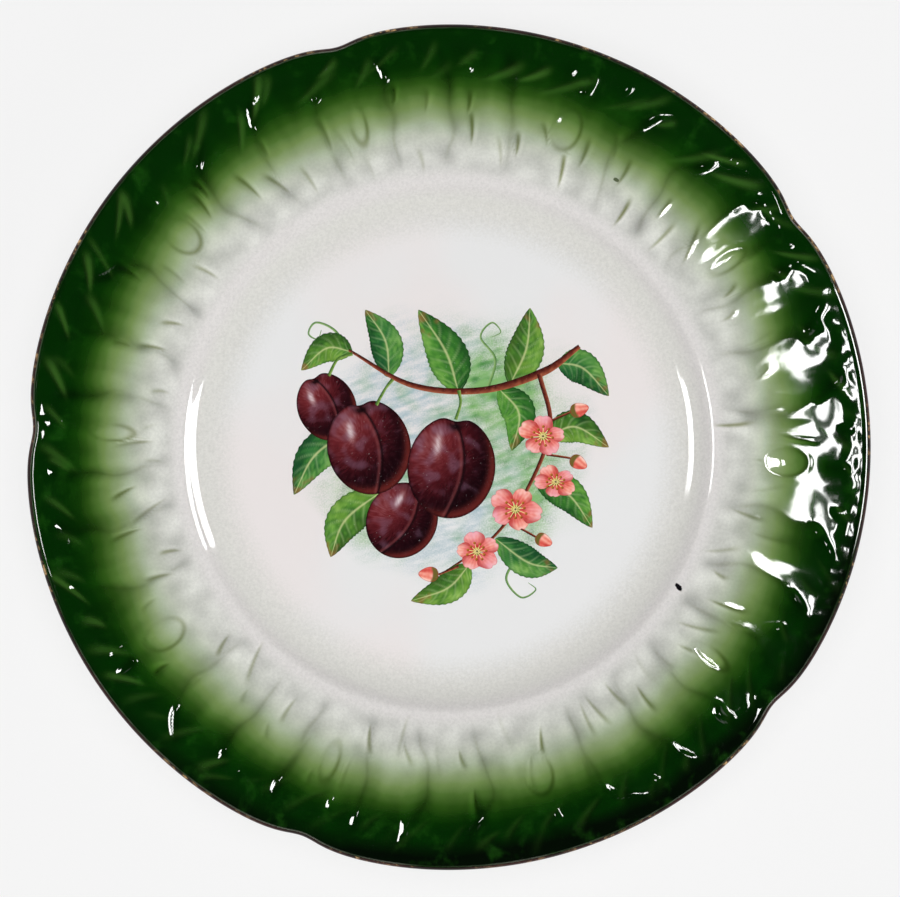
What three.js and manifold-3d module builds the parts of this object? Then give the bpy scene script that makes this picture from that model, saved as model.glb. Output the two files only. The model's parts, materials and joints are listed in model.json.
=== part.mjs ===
// Lunch plate in glazed earthenware: a flat well with a print, a broad rim embossed with
// fluted lobes and oval bosses, an edge broken by shallow notches, and a gilt edge line.
// Millimetres, +Z up. The origin is the centre of the plane that the foot ring stands on,
// and +Y points to the top of the print.
import * as THREE from 'three';
import { mergeVertices } from 'three/addons/utils/BufferGeometryUtils.js';
import Module from 'manifold-3d';

// Plate
const plateDiameter = 229;
const plateHeight = 22;
const floorThickness = 4.8;
const wallThickness = 4.6;
const lipThickness = 3.2;
const lipRound = 1.7;

// Well and shoulder
const shoulderDiameter = 145;
const shoulderRise = 3.9;
const cavettoRun = 10.5;
const floorReach = 0.72; // shares of the run that the curve stays level and tight for
const shoulderTightness = 0.2;

// Foot ring
const footDiameter = 133;
const footWidth = 3.6;
const footHeight = 3.2;
const footDraft = 0.8;

// Edge notches, spaced evenly round the rim
const notchCount = 5;
const firstNotchAngle = 33.5;
const notchDepth = 2.25;
const notchHalfWidth = 7;
const notchLift = 0.8;
const curlStart = 0.82; // share of the rim's width

// Embossed lobes
const lobeHeight = 0.6;
const lobeRound = 1.15;
const lobeTipStart = 2.6;
const lobeTipRound = 5.5;
const lobeTipSlope = 11;
const scallopEnd = 5;
const scallopRound = 4;
const scallopSlope = 4;
const splitStart = 27;
const splitSlope = 6;

// Oval bosses: a large one in the middle of each sector, a slim one at each notch
const bossDistance = 92;
const bossLength = 10.8;
const bossWidth = 7.4;
const bossHeight = 0.8;
const slimBossLength = 11.2;
const slimBossWidth = 4.2;
const slimBossHeight = 0.6;

// Print and gilding, both fired on top of the glaze
const printMargin = 15;
const printThickness = 0.2;
const gildThickness = 0.25;
const gildGap = 0.1;

// Groove lines between the lobes, as shares of half a sector counted from the boss:
// where each one passes the boss, and how far it swings away towards the well and the edge
const grooves = [
  { at: 0, inward: 0, outward: 0 },
  { at: 0.24, inward: 0.065, outward: 0.2 },
  { at: 0.545, inward: 0.05, outward: 0.14 },
  { at: 0.817, inward: 0.055, outward: 0.07 },
  { at: 1, inward: 0, outward: 0 },
];

// Mesh steps: columns in each gap between groove lines from a boss out to a notch, shares of
// the rim's width with a ring of points, and angles round the lip's nose in degrees
const gapSteps = [5, 4, 4, 3];
const rimShares = [0, 0.05, 0.12, 0.21, 0.33, 0.48, 0.63, 0.76, 0.86, 0.94];
const undersideShares = [0.15, 0.6];
const lipAngles = [-90, -50, -10, 35, 80];
const gildAngles = lipAngles.slice(2);
const cavettoSteps = 5;
const printSteps = 36;
const bossSides = 16;
const bossRings = 10;
const rimDish = 0.7;
const weldDistance = 1e-3;

const wellFloorZ = footHeight + floorThickness;
const shoulderZ = wellFloorZ + shoulderRise;
const shoulderRadius = shoulderDiameter / 2;
const wellFlatRadius = shoulderRadius - cavettoRun;
const gildBuild = gildGap + gildThickness;
const edgeRadius = plateDiameter / 2 - gildBuild;
const lipTopZ = plateHeight - gildBuild;
const lipMiddleZ = lipTopZ - lipThickness / 2;
const lipCentreRadius = edgeRadius - lipRound;
const rimWidth = lipCentreRadius - shoulderRadius;
const sectorAngle = 360 / notchCount;
const halfSector = sectorAngle / 2;
const linesPerHalf = grooves.length - 1;
const bossShare = (bossDistance - shoulderRadius) / rimWidth;

const wasm = await Module();
wasm.setup();

const radians = THREE.MathUtils.degToRad;
const smoothstep = THREE.MathUtils.smoothstep;

// Height of the bare rim at a share of its width: flatter beside the well, steeper at the lip.
function rimHeight(share) {
  return shoulderZ + (lipTopZ - shoulderZ) * share * (rimDish + (1 - rimDish) * share);
}

function rimSlope(share) {
  return ((lipTopZ - shoulderZ) * (rimDish + 2 * (1 - rimDish) * share)) / rimWidth;
}

// The S-shaped wall between the flat well floor and the rim, as a curve of radius and height.
function cavettoCurve() {
  const tightRun = shoulderTightness * cavettoRun;
  return new THREE.CubicBezierCurve(
    new THREE.Vector2(wellFlatRadius, wellFloorZ),
    new THREE.Vector2(wellFlatRadius + floorReach * cavettoRun, wellFloorZ),
    new THREE.Vector2(shoulderRadius - tightRun, shoulderZ - rimSlope(0) * tightRun),
    new THREE.Vector2(shoulderRadius, shoulderZ),
  );
}

// Angle in degrees from the nearest notch.
function fromNotch(angle) {
  const turned = angle - firstNotchAngle + halfSector;
  return turned - Math.floor(turned / sectorAngle) * sectorAngle - halfSector;
}

// A bell curve of height 1 at each notch and half that at notchHalfWidth along the edge.
function notchBell(angle) {
  const along = radians(fromNotch(angle)) * edgeRadius;
  return 1 / (1 + (along / notchHalfWidth) ** 2);
}

// Outside the shoulder every radius is drawn in, in proportion, so that the rim follows the notches.
function notchedRadius(radius, angle) {
  if (radius <= shoulderRadius) return radius;
  const reach = (radius - shoulderRadius) / (edgeRadius - shoulderRadius);
  return radius - notchDepth * notchBell(angle) * reach;
}

// Angle of a groove line from its boss, in degrees, at a share of the rim's width.
function grooveAngle(line, share) {
  const groove = grooves[Math.abs(line)];
  const inward = Math.max(0, bossShare - share) / bossShare;
  const outward = Math.max(0, share - bossShare) / (1 - bossShare);
  const swing = groove.at + groove.inward * inward ** 2 + groove.outward * outward ** 2;
  return Math.sign(line) * halfSector * Math.min(swing, 1);
}

// Columns of the rim's mesh: each stands in the gap after a groove line, at a share across it.
function rimColumns() {
  const columns = [];
  for (let sector = 0; sector < notchCount; sector++) {
    for (let line = -linesPerHalf; line < linesPerHalf; line++) {
      const steps = gapSteps[line < 0 ? -line - 1 : line];
      for (let step = 0; step < steps; step++) {
        columns.push({ sector, line, across: step / steps });
      }
    }
  }
  return columns;
}
const columns = rimColumns();

function columnAngle(column, share) {
  const from = grooveAngle(column.line, share);
  const to = grooveAngle(column.line + 1, share);
  const bossAngle = firstNotchAngle + halfSector + column.sector * sectorAngle;
  return bossAngle + THREE.MathUtils.lerp(from, to, column.across);
}

// Height of one pillow-shaped lobe at an offset from its middle line, -1 to 1 across it.
// Both ends are rounded: a tip towards the well and a scallop towards the lip.
function lobe(offset, share) {
  const inside = share * rimWidth;
  const tip = lobeTipStart + lobeTipRound * offset ** 2;
  const scallop = rimWidth - scallopEnd - scallopRound * offset ** 2;
  const rise = smoothstep(inside, tip, tip + lobeTipSlope);
  const fall = 1 - smoothstep(inside, scallop - scallopSlope, scallop);
  return lobeHeight * (1 - offset ** 2) ** lobeRound * rise * fall;
}

// Embossing at a column. The lobe that holds the boss splits in two beyond it.
function relief(column, share) {
  const { line, across } = column;
  const single = lobe(2 * across - 1, share);
  if (line === -linesPerHalf) return lobe(across, share);
  if (line === linesPerHalf - 1) return lobe(1 - across, share);
  if (line < -1 || line > 0) return single;
  const joined = lobe(line < 0 ? 1 - across : across, share);
  const split = smoothstep(share * rimWidth, splitStart, splitStart + splitSlope);
  return THREE.MathUtils.lerp(joined, single, split);
}

// The lip curls up a little on each notch.
function curl(angle, share) {
  return notchLift * notchBell(angle) * smoothstep(share, curlStart, 1);
}

// Rings of the plate's profile from the middle of the back, out round the lip, to the middle
// of the face. Each ring has a radius, a height and the rim share that its columns stand at.
function plateRings() {
  const footOuter = footDiameter / 2;
  const footInner = footOuter - footWidth;
  const cavetto = cavettoCurve().getPoints(cavettoSteps);
  const faceHeight = (radius) => {
    if (radius >= shoulderRadius) return rimHeight((radius - shoulderRadius) / rimWidth);
    const next = cavetto.findIndex((point) => point.x >= radius);
    if (next < 1) return wellFloorZ;
    const [a, b] = [cavetto[next - 1], cavetto[next]];
    return THREE.MathUtils.mapLinear(radius, a.x, b.x, a.y, b.y);
  };
  const footTop = footOuter + footDraft;
  const rings = [
    { radius: 0, z: footHeight, share: 1 },
    { radius: footInner - footDraft, z: footHeight, share: 1 },
    { radius: footInner, z: 0, share: 1 },
    { radius: footOuter, z: 0, share: 1 },
    { radius: footTop, z: faceHeight(footTop) - wallThickness, share: 1 },
  ];
  for (const share of undersideShares) {
    const radius = THREE.MathUtils.lerp(Math.max(footTop, shoulderRadius), lipCentreRadius, share);
    const wall = THREE.MathUtils.lerp(wallThickness, lipThickness, share);
    rings.push({ radius, z: faceHeight(radius) - wall, share: 1, curlShare: share });
  }
  for (const angle of lipAngles) rings.push(lipRing(angle, 0));
  for (const share of [...rimShares].reverse()) {
    const radius = shoulderRadius + share * rimWidth;
    rings.push({ radius, z: rimHeight(share), share, curlShare: share, embossed: true });
  }
  for (const point of cavetto.slice(0, -1).reverse()) {
    rings.push({ radius: point.x, z: point.y, share: 0 });
  }
  rings.push({ radius: 0, z: wellFloorZ, share: 0 });
  return rings;
}

// A point on the lip's rounded nose, at an angle from level and a height above the clay.
function lipRing(angle, above) {
  const turn = radians(angle);
  return {
    radius: lipCentreRadius + (lipRound + above) * Math.cos(turn),
    z: lipMiddleZ + (lipThickness / 2 + above) * Math.sin(turn),
    share: 1,
    curlShare: 1,
  };
}

// Revolves rings round the plate's axis, then draws in the notches and raises the embossing.
function revolve(rings) {
  const profile = rings.map((ring) => new THREE.Vector2(ring.radius, ring.z));
  const geometry = new THREE.LatheGeometry(profile, columns.length);
  const position = geometry.getAttribute('position');
  for (let i = 0; i < position.count; i++) {
    const ring = rings[i % rings.length];
    const column = columns[Math.floor(i / rings.length) % columns.length];
    const angle = columnAngle(column, ring.share);
    const radius = notchedRadius(ring.radius, angle);
    const lift = ring.curlShare === undefined ? 0 : curl(angle, ring.curlShare);
    const raised = ring.embossed ? relief(column, ring.share) : 0;
    const turn = radians(angle);
    position.setXYZ(i, radius * Math.cos(turn), radius * Math.sin(turn), ring.z + lift + raised);
  }
  return geometry;
}

// A closed geometry as a manifold solid, with the triangles that vanish at the axis left out.
function solidOf(geometry) {
  const bare = geometry.clone();
  bare.deleteAttribute('normal');
  bare.deleteAttribute('uv');
  const welded = mergeVertices(bare, weldDistance);
  const corners = [];
  for (let i = 0; i < welded.index.count; i += 3) {
    const [a, b, c] = welded.index.array.slice(i, i + 3);
    if (a !== b && b !== c && c !== a) corners.push(a, b, c);
  }
  return new wasm.Manifold(new wasm.Mesh({
    numProp: 3,
    vertProperties: welded.getAttribute('position').array,
    triVerts: new Uint32Array(corners),
  }));
}

function geometryOf(solid) {
  const mesh = solid.getMesh();
  const geometry = new THREE.BufferGeometry();
  geometry.setAttribute('position', new THREE.BufferAttribute(mesh.vertProperties, 3));
  geometry.setIndex(new THREE.BufferAttribute(mesh.triVerts, 1));
  geometry.computeVertexNormals();
  return geometry;
}

// An oval cushion lying on the rim's slope, half sunk, with its long side pointing outwards.
function boss(angle, length, width, height) {
  const lobeTop = rimHeight(bossShare) + lobe(0, bossShare) + curl(angle, bossShare);
  const slope = Math.atan(rimSlope(bossShare));
  const geometry = new THREE.SphereGeometry(1, bossSides, bossRings);
  geometry.rotateX(Math.PI / 2);
  geometry.scale(length / 2, width / 2, height);
  geometry.rotateY(-slope);
  geometry.translate(notchedRadius(bossDistance, angle), 0, lobeTop);
  geometry.rotateZ(radians(angle));
  return solidOf(geometry);
}

function plateBody() {
  let solid = solidOf(revolve(plateRings()));
  for (let sector = 0; sector < notchCount; sector++) {
    const notchAngle = firstNotchAngle + sector * sectorAngle;
    solid = solid.add(boss(notchAngle + halfSector, bossLength, bossWidth, bossHeight));
    solid = solid.add(boss(notchAngle, slimBossLength, slimBossWidth, slimBossHeight));
  }
  const glaze = new THREE.MeshStandardMaterial({ color: 0xdfe3d6, roughness: 0.12, metalness: 0 });
  return named('plate_body', geometryOf(solid), glaze);
}

// A round film on the flat of the well.
function centrePrint() {
  const outline = new THREE.Shape();
  outline.absarc(0, 0, wellFlatRadius - printMargin, 0, 2 * Math.PI);
  const geometry = new THREE.ExtrudeGeometry(outline, {
    depth: printThickness,
    bevelEnabled: false,
    curveSegments: printSteps,
  });
  geometry.translate(0, 0, wellFloorZ);
  const ink = new THREE.MeshStandardMaterial({ color: 0x9c8f7e, roughness: 0.15, metalness: 0 });
  return named('centre_print', geometry, ink);
}

// A thin band of gilding wrapped over the lip's nose.
function giltEdgeLine() {
  const inner = gildAngles.map((angle) => lipRing(angle, gildGap));
  const outer = gildAngles.map((angle) => lipRing(angle, gildBuild));
  const section = [...outer, ...inner.reverse()];
  const gold = new THREE.MeshStandardMaterial({ color: 0x7a4a2c, roughness: 0.3, metalness: 0.8 });
  return named('gilt_edge_line', revolve([...section, section[0]]), gold);
}

function named(name, geometry, material) {
  const mesh = new THREE.Mesh(geometry, material);
  mesh.name = name;
  return mesh;
}

const plate = new THREE.Group();
plate.name = 'lunch_plate';
plate.add(plateBody(), centrePrint(), giltEdgeLine());

export default plate;
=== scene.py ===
import json
import math

import bpy
import numpy as np
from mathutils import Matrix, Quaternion, Vector

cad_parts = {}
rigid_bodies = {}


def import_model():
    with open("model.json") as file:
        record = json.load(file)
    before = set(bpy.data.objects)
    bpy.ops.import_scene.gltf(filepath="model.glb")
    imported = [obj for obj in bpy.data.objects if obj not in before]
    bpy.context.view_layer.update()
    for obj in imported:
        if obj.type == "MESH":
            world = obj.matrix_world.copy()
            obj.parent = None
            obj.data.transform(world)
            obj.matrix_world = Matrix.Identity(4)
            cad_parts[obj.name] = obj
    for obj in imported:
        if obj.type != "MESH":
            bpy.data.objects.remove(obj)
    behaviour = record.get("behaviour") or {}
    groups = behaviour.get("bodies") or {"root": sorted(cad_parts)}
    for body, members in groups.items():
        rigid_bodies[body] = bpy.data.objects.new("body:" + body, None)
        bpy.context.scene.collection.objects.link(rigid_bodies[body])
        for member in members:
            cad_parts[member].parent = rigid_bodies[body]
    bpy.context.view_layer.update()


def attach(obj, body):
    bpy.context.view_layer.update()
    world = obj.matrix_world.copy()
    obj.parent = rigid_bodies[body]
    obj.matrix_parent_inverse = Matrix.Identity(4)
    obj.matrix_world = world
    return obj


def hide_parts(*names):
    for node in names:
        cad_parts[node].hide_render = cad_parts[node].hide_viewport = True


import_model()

mm = 0.001  # sizes are given in millimetres and used in metres


# Shared tools

def deselectAll():
    bpy.ops.object.select_all(action="DESELECT")


def readPoints(piece):
    flat = np.empty(len(piece.data.vertices) * 3)
    piece.data.vertices.foreach_get("co", flat)
    return flat.reshape(-1, 3)


def writePoints(piece, points):
    piece.data.vertices.foreach_set("co", points.ravel())
    piece.data.update()


def writeValues(piece, name, values):
    layer = piece.data.attributes.new(name, "FLOAT", "POINT")
    layer.data.foreach_set("value", values.astype(np.float32))


def ease(value, start, end):  # smooth step from 0 at start to 1 at end
    x = np.clip((value - start) / (end - start), 0, 1)
    return x * x * (3 - 2 * x)


def bump(value, start, rise, fall, end):  # 0 outside start and end, 1 between rise and fall
    return ease(value, start, rise) * (1 - ease(value, fall, end))


def grain(x, y, size, seed):  # soft random hills between about -1 and 1, one size across
    cells = 97
    slopes = np.random.default_rng(seed).uniform(0, 2 * np.pi, (cells, cells))
    column, row = np.floor(x / size), np.floor(y / size)
    u, v = x / size - column, y / size - row
    left, low = column.astype(int), row.astype(int)

    def hill(right, up):
        slope = slopes[(low + up) % cells, (left + right) % cells]
        return np.cos(slope) * (u - right) + np.sin(slope) * (v - up)

    shareX, shareY = (t ** 3 * (t * (6 * t - 15) + 10) for t in (u, v))
    below = hill(0, 0) * (1 - shareX) + hill(1, 0) * shareX
    above = hill(0, 1) * (1 - shareX) + hill(1, 1) * shareX
    return 1.6 * (below * (1 - shareY) + above * shareY)


def turned(x, y, degrees):
    turn = math.radians(degrees)
    return x * math.cos(turn) - y * math.sin(turn), x * math.sin(turn) + y * math.cos(turn)


def screenToLinear(colors):  # colours listed on the screen's scale, as the shader wants them
    share = np.asarray(colors, float) / 255
    return np.where(share < 0.04045, share / 12.92, ((share + 0.055) / 1.055) ** 2.4)


def linear(red, green, blue):
    return (*screenToLinear((red, green, blue)).tolist(), 1)


def newMaterial(name, **sockets):
    made = bpy.data.materials.new(name)
    made.use_nodes = True
    shader = made.node_tree.nodes["Principled BSDF"]
    for socket, value in sockets.items():
        shader.inputs[socket.replace("_", " ")].default_value = value
    return made, made.node_tree, shader


def put(tree, kind, sockets=None, **settings):
    made = tree.nodes.new("ShaderNode" + kind)
    for name, value in settings.items():
        setattr(made, name, value)
    for name, value in (sockets or {}).items():
        if isinstance(value, bpy.types.NodeSocket):
            tree.links.new(value, made.inputs[name])
        else:
            made.inputs[name].default_value = value
    return made


def calc(tree, operation, *values):
    return put(tree, "Math", dict(enumerate(values)), operation=operation).outputs[0]


def mixColor(tree, factor, first, second, mode="MIX"):
    sockets = {0: factor, 6: first, 7: second}
    return put(tree, "Mix", sockets, data_type="RGBA", blend_type=mode).outputs[2]


def mapRange(tree, value, low, high, toLow=0.0, toHigh=1.0):
    sockets = {"Value": value, "From Min": low, "From Max": high, "To Min": toLow, "To Max": toHigh}
    return put(tree, "MapRange", sockets, interpolation_type="SMOOTHSTEP").outputs[0]


def noise(tree, where, scale, detail=3.0, roughness=0.5):
    sockets = {"Vector": where, "Scale": scale, "Detail": detail, "Roughness": roughness}
    return put(tree, "TexNoise", sockets).outputs["Fac"]


def pointValue(tree, name):  # a value that writeValues has left on the mesh
    return put(tree, "Attribute", attribute_name=name).outputs["Fac"]


def ramp(tree, factor, stops):
    made = put(tree, "ValToRGB", {"Fac": factor})
    marks = made.color_ramp.elements
    while len(marks) < len(stops):
        marks.new(0.5)
    for mark, (place, color) in zip(marks, stops):
        mark.position = place
        mark.color = color
    return made.outputs["Color"]


def spinProfile(name, path, steps):  # a point is drawn out along the path, then spun round Z
    deselectAll()
    bpy.ops.mesh.primitive_plane_add(size=mm)
    piece = bpy.context.object
    piece.name = name
    bpy.ops.object.mode_set(mode="EDIT")
    bpy.ops.mesh.select_mode(type="VERT")
    bpy.ops.mesh.select_all(action="SELECT")
    bpy.ops.mesh.merge(type="CENTER")
    bpy.ops.transform.translate(value=(path[0][0], 0, path[0][1]))
    for (r0, z0), (r1, z1) in zip(path, path[1:]):
        bpy.ops.mesh.extrude_vertices_move(TRANSFORM_OT_translate={"value": (r1 - r0, 0, z1 - z0)})
    bpy.ops.object.mode_set(mode="OBJECT")
    bpy.ops.object.modifier_add(type="SCREW")
    screw = piece.modifiers[-1]
    screw.steps = screw.render_steps = steps
    screw.use_merge_vertices = True
    screw.merge_threshold = 0.001 * mm
    bpy.ops.object.modifier_apply(modifier=screw.name)
    bpy.ops.object.mode_set(mode="EDIT")
    bpy.ops.mesh.select_all(action="SELECT")
    bpy.ops.mesh.normals_make_consistent(inside=False)
    bpy.ops.object.mode_set(mode="OBJECT")
    bpy.ops.object.shade_smooth()
    return piece


# The plate's body

plateForm = {
    "edgeRadius": 114.15 * mm,
    "lipRound": 1.7 * mm,
    "lipThickness": 3.2 * mm,
    "lipTop": 21.65 * mm,
    "shoulderRadius": 72.5 * mm,
    "shoulderTop": 11.9 * mm,
    "cavettoRun": 10.5 * mm,
    "cavettoFoot": 0.72,  # how far the pulls of its S-curve reach, as shares of the run
    "cavettoHead": 0.2,
    "wellFloor": 8.0 * mm,
    "wall": 4.6 * mm,
    "rimDish": 0.7,
    "rimBow": 0.15 * mm,  # straightens the outer third of the rim
    "bowAt": 0.8,  # share of the rim's width
    "bowReach": 0.17,
    "footRadius": 66.5 * mm,
    "footWidth": 3.6 * mm,
    "footHeight": 3.2 * mm,
    "footDraft": 0.8 * mm,
    "footRound": 0.6 * mm,
    "spinSteps": 960,
    "rimRings": 29,
    "fineRings": 25,  # rings lie closer near the lip, where the smallest marks are
    "fineStart": 0.64,  # share of the rim's width
    "cavettoRings": 12,
    "lipRings": 8,
    "undersideRings": 6,
    "wellRings": (0, 0.3, 0.6, 0.85),  # shares of the flat's radius
    "backRings": (0.6, 0.3, 0),
}

relief = {
    "notches": 5,
    "firstNotch": 33.5,  # degrees from +X
    "notchDepth": 2.25 * mm,
    "notchHalfWidth": 7 * mm,
    "notchLift": 0.8 * mm,
    "curlStart": 0.91,  # share of the rim's width
    "lipWave": 0.1 * mm,
    "lipWaveSize": 3.2 * mm,
    "notchWave": 3.2,  # how many times higher the waves are beside a notch
    # groove lines as shares of half a sector: at the boss, swing to the well, swing to the edge
    "grooves": [(0, 0, 0), (0.24, 0.065, 0.2), (0.545, 0.05, 0.14), (0.817, 0.055, 0.07), (1, 0, 0)],
    "wander": 1.5,  # degrees that the hand-cut mould strays by
    "wanderSize": 11 * mm,
    "lobeHeight": 0.3 * mm,
    "lobeRound": 1.15,
    "tipStart": 2.6 * mm,
    "tipRound": 5.5 * mm,
    "tipSlope": 16 * mm,
    "scallopEnd": 1.8 * mm,
    "scallopRound": 4 * mm,
    "scallopSlope": 2.6 * mm,
    "split": (27 * mm, 33 * mm),  # from the shoulder, where the lobe under a boss parts in two
    "fluteHeight": 0.045 * mm,
    "fluteWidth": 5.4 * mm,
    "fluteStretch": 4,
    # short marks cut into the mould by hand, each chosen between two values: distance from the centre,
    # half length and half width in millimetres, lean from the radius in degrees, strength
    "cuts": {"count": 90, "depth": 0.14 * mm, "distance": (78, 99), "length": (2.0, 5.2),
             "width": (0.5, 0.9), "lean": (-12, 30), "strength": (0.15, 1), "seed": 13},
    "crests": {"count": 84, "depth": 0.04 * mm, "distance": (101.5, 109.5), "length": (2.6, 6.4),
               "width": (0.6, 1.0), "lean": (-62, -28), "strength": (0.15, 1), "seed": 14},
    "nicks": {"count": 24, "depth": 0.9 * mm, "distance": (101.5, 109.5), "length": (1.4, 2.6),
              "width": (0.8, 1.1), "lean": (-30, 30), "strength": (0.4, 1), "seed": 15},
    "markStray": 0.45,  # of the bearing from one mark to the next
    "markBow": 0.35,
    "markSwell": 0.35,  # a mark is fuller at its outer end
    "litSide": 1.5,  # the painted lit side and painted shaded side of a mark, in half widths from its line
    "shadedSide": 0.9,
    "gougeDepth": 1.2 * mm,  # the creases' outer ends, cut deeper than the rest
    "gougeHalfWidth": 1.1 * mm,
    "gougeSize": 7 * mm,  # of the patches in which the gouges are deep or shallow
    "valleyHalfWidth": 1.7 * mm,
    "lineReach": 1.1 * mm,  # within which one line hides another
    "hollowShadeSize": 5.5 * mm,
    # rings in which each kind of relief begins, is full, and ends, in millimetres from the shoulder
    "bands": {
        "lobeLines": (4, 9, 24, 33),
        "valleys": (1.5, 6, 16, 38),
        "gouges": (27, 30, 34.4, 37),
        "flutes": (2, 6, 34, 39),
        "hollowShade": (1.5, 5, 12, 22),
        "waves": (33, 36, 38.6, 39.95),
        "spray": (3, 8, 33, 38),
    },
    "seeds": {"wander": 10, "flutes": 11, "fineFlutes": 12, "gouges": 16, "hollowShade": 17, "waves": 18},
    "bossDistance": 92 * mm,
    "boss": (10.8 * mm, 7.4 * mm, 0.4 * mm),  # length, width, height
    "slimBoss": (11.2 * mm, 4.2 * mm, 0.32 * mm),
    "bossRound": 1.25,
    "bossMoat": 0.06 * mm,
    "moatAt": (1.1, 0.14),  # the moat's middle and reach, and the line round a boss, in its half widths
    "bossLineAt": 1.04,
    "bossLine": (0.35, 0.4),  # how deep that line is, and how much deeper on its darker side
    "bossDarkSideBearing": 325,  # the bearing towards which the line round a boss is darker
}

shoulder = plateForm["shoulderRadius"]
lipCentre = plateForm["edgeRadius"] - plateForm["lipRound"]
lipMiddle = plateForm["lipTop"] - plateForm["lipThickness"] / 2
rimWidth = lipCentre - shoulder
wellFlat = shoulder - plateForm["cavettoRun"]
sector = 360 / relief["notches"]
bossShare = (relief["bossDistance"] - shoulder) / rimWidth


def rimTop(share):  # bare rim, flatter beside the well and steeper at the lip
    rise = plateForm["lipTop"] - plateForm["shoulderTop"]
    dish = plateForm["rimDish"]
    bow = plateForm["rimBow"] * np.exp(-((share - plateForm["bowAt"]) / plateForm["bowReach"]) ** 2)
    return plateForm["shoulderTop"] + rise * share * (dish + (1 - dish) * share) + bow


def cavettoPath(rings):  # S-shaped wall from the flat of the well up to the rim
    rimSlope = (plateForm["lipTop"] - plateForm["shoulderTop"]) * plateForm["rimDish"] / rimWidth
    tight = plateForm["cavettoHead"] * plateForm["cavettoRun"]
    corners = np.array([
        (wellFlat, plateForm["wellFloor"]),
        (wellFlat + plateForm["cavettoFoot"] * plateForm["cavettoRun"], plateForm["wellFloor"]),
        (shoulder - tight, plateForm["shoulderTop"] - rimSlope * tight),
        (shoulder, plateForm["shoulderTop"]),
    ])
    t = np.linspace(0, 1, rings + 1)[:, None]
    weights = [(1 - t) ** 3, 3 * t * (1 - t) ** 2, 3 * t * t * (1 - t), t ** 3]
    return sum(weight * corner for weight, corner in zip(weights, corners))


def lipPoint(angle, above=0.0):
    turn = math.radians(angle)
    return (lipCentre + (plateForm["lipRound"] + above) * math.cos(turn),
            lipMiddle + (plateForm["lipThickness"] / 2 + above) * math.sin(turn))


def facePath():  # from the middle of the well out to the lip's top
    path = [(share * wellFlat, plateForm["wellFloor"]) for share in plateForm["wellRings"]]
    path += [tuple(point) for point in cavettoPath(plateForm["cavettoRings"])]
    fineStart = plateForm["fineStart"]
    coarse = np.linspace(0, fineStart, plateForm["rimRings"] + 1)[1:]
    fine = np.linspace(fineStart, 1, plateForm["fineRings"] + 1)[1:]
    for share in (*coarse, *fine):
        path.append((shoulder + share * rimWidth, rimTop(share)))
    return path


def roundCorner(before, corner, after, size, steps=3):
    before, corner, after = (np.array(point) for point in (before, corner, after))
    start = corner + (before - corner) / np.linalg.norm(before - corner) * size
    end = corner + (after - corner) / np.linalg.norm(after - corner) * size
    t = np.linspace(0, 1, steps + 1)[:, None]
    return [tuple(p) for p in start * (1 - t) ** 2 + corner * 2 * t * (1 - t) + end * t * t]


def backPath():  # from the lip's top round the nose, down the back and over the foot ring
    path = [lipPoint(angle) for angle in np.linspace(90, -90, plateForm["lipRings"] + 1)[1:]]
    faceR, faceZ = np.array(facePath()).T
    footTop = plateForm["footRadius"] + plateForm["footDraft"]
    for share in np.linspace(1, 0, plateForm["undersideRings"] + 1)[1:]:
        radius = footTop + (lipCentre - footTop) * share
        wall = plateForm["wall"] + (plateForm["lipThickness"] - plateForm["wall"]) * share
        path.append((radius, float(np.interp(radius, faceR, faceZ)) - wall))
    footInner = plateForm["footRadius"] - plateForm["footWidth"]
    corners = [path[-1], (plateForm["footRadius"], 0), (footInner, 0),
               (footInner - plateForm["footDraft"], plateForm["footHeight"]), (0, plateForm["footHeight"])]
    for before, corner, after in zip(corners, corners[1:], corners[2:]):
        path += roundCorner(before, corner, after, plateForm["footRound"])
    path += [(share * footInner, plateForm["footHeight"]) for share in plateForm["backRings"]]
    return path


def notchBell(angle):
    fromNotch = (angle - relief["firstNotch"] + sector / 2) % sector - sector / 2
    along = np.radians(fromNotch) * plateForm["edgeRadius"]
    return 1 / (1 + (along / relief["notchHalfWidth"]) ** 2)


def followNotches(points):  # draws the rim in at the notches and curls its lip up there
    radius = np.hypot(points[:, 0], points[:, 1])
    angle = np.degrees(np.arctan2(points[:, 1], points[:, 0]))
    bell = notchBell(angle)
    reach = (radius - shoulder) / (plateForm["edgeRadius"] - shoulder)
    drawn = radius - relief["notchDepth"] * bell * np.maximum(reach, 0)
    scale = np.where(radius > 0, drawn / np.maximum(radius, mm), 1)
    share = np.clip((radius - shoulder) / rimWidth, 0, 1)
    lift = relief["notchLift"] * bell * ease(share, relief["curlStart"], 1)
    return np.column_stack([points[:, 0] * scale, points[:, 1] * scale, points[:, 2] + lift])


def grooveAngle(line, share):
    at, inward, outward = relief["grooves"][line]
    toWell = np.maximum(0, bossShare - share) / bossShare
    toEdge = np.maximum(0, share - bossShare) / (1 - bossShare)
    return sector / 2 * np.minimum(at + inward * toWell ** 2 + outward * toEdge ** 2, 1)


def lobe(offset, inside):  # pillow with a rounded tip towards the well and a scallop at the lip
    tip = relief["tipStart"] + relief["tipRound"] * offset ** 2
    end = rimWidth - relief["scallopEnd"] - relief["scallopRound"] * offset ** 2
    window = bump(inside, tip, tip + relief["tipSlope"], end - relief["scallopSlope"], end)
    return np.maximum(1 - offset ** 2, 0) ** relief["lobeRound"] * window


def ovalDome(along, across, size):
    length, width, height = size
    moatAt, moatReach = relief["moatAt"]
    reach = np.sqrt((along / (length / 2)) ** 2 + (across / (width / 2)) ** 2)
    dome = np.maximum(1 - reach ** 2, 0) ** relief["bossRound"]
    moat = np.exp(-((reach - moatAt) / moatReach) ** 2)
    return height * dome, moat, dome, (reach - relief["bossLineAt"]) * width / 2


def band(inside, kind):
    return bump(inside, *(place * mm for place in relief["bands"][kind]))


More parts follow.
